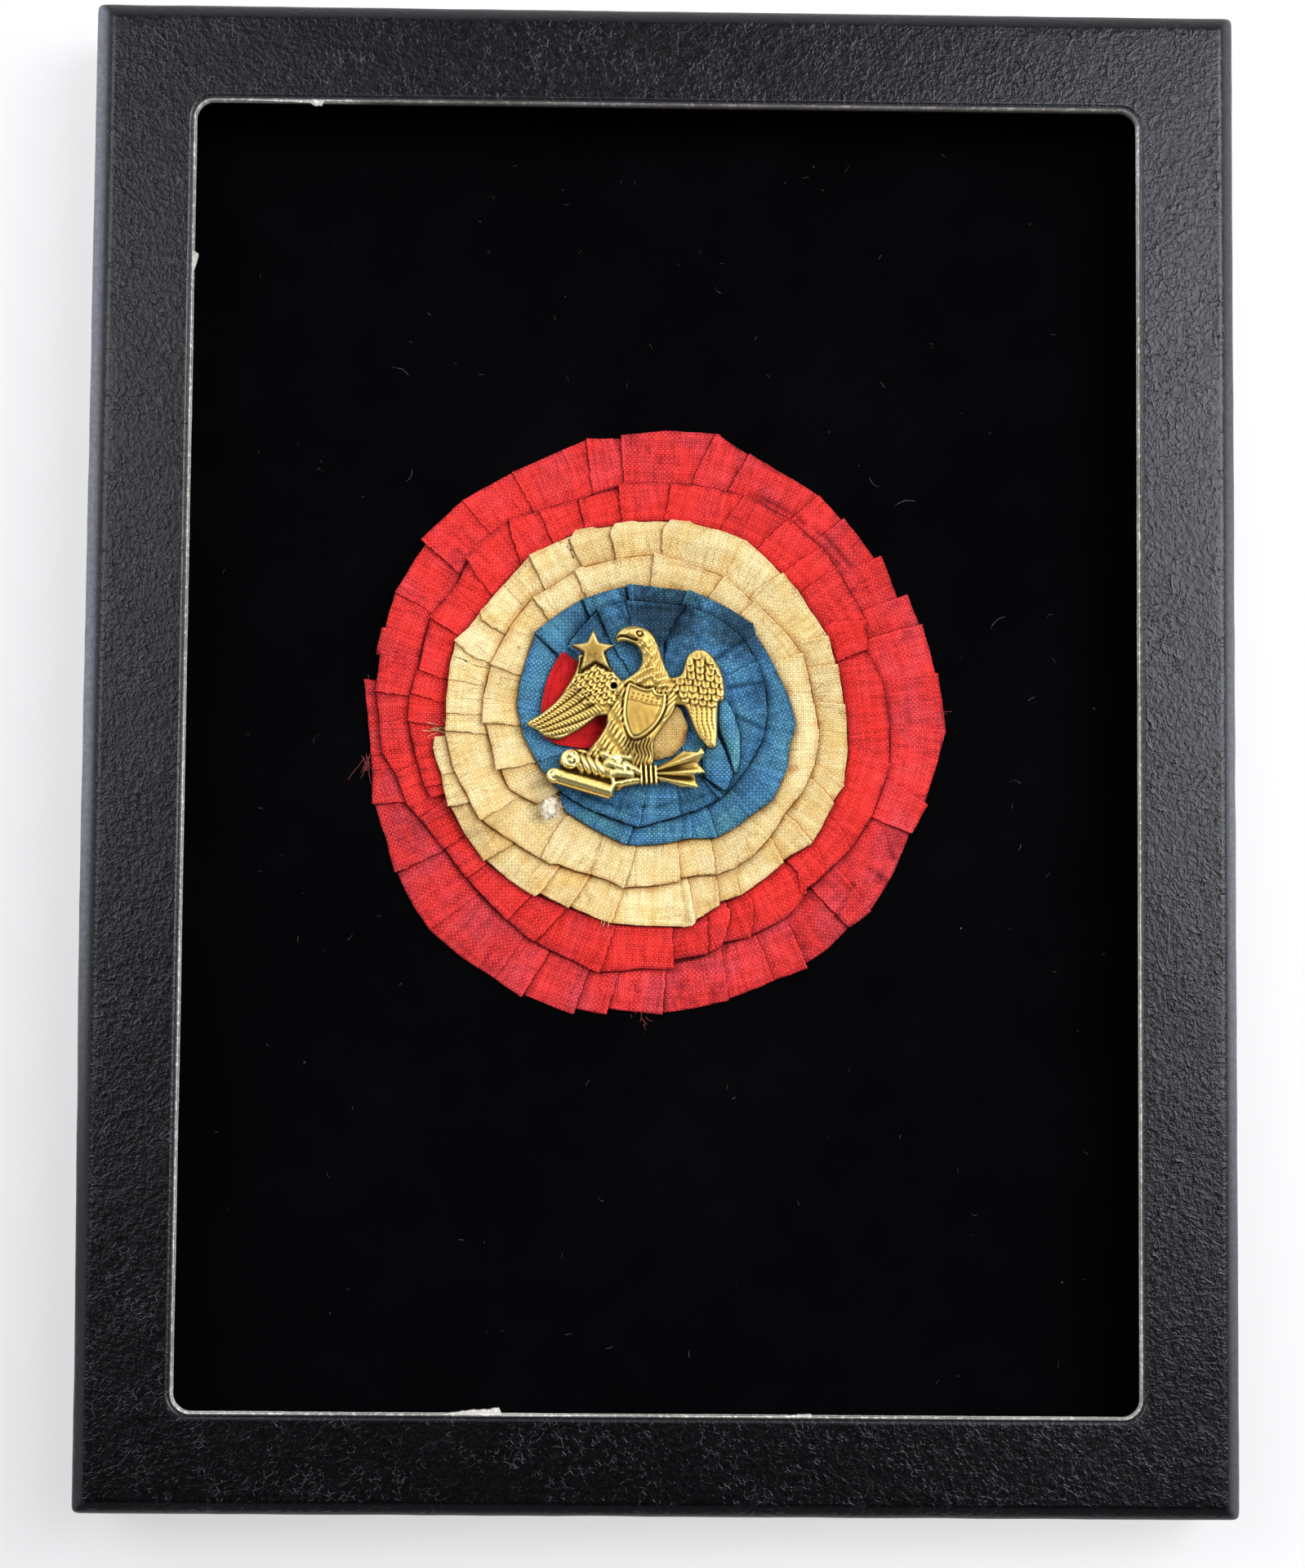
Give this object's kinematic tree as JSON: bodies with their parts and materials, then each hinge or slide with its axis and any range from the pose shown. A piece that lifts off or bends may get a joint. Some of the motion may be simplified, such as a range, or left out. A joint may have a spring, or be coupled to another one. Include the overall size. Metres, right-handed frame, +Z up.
{
  "type": "ribbon cockade with eagle device in windowed display case",
  "caption": "Round pleated cotton cockade in red, cream and blue rings with a stamped brass eagle, lying on a black pad in a flat case whose lift-off lid has a window.",
  "frame": {"origin": "on the surface that the case lies on, under the middle of its outline", "axes": "+Z up out of the window, +Y toward the eagle's head along the case's length, +X to the eagle's raised wing"},
  "size_m": [0.1588, 0.2096, 0.019],
  "materials": {
    "case_card": "black paper on card",
    "case_leather": "creased black leatherette",
    "pad_velvet": "black velvet",
    "cloth_red": "plain woven cotton, soiled at the edges",
    "cloth_cream": "plain woven cotton, stained",
    "cloth_blue": "plain woven cotton, faded in places",
    "eagle_brass": "stamped sheet brass, darkened in the recesses"
  },
  "bodies": {
    "root": {"case_tray": "case_card", "case_lid": "case_leather", "velvet_pad": "pad_velvet", "frill_red": "cloth_red", "frill_cream": "cloth_cream", "frill_blue": "cloth_blue", "centre_red": "cloth_red", "centre_button": "cloth_cream", "eagle_device": "eagle_brass"}
  },
  "joints": []
}
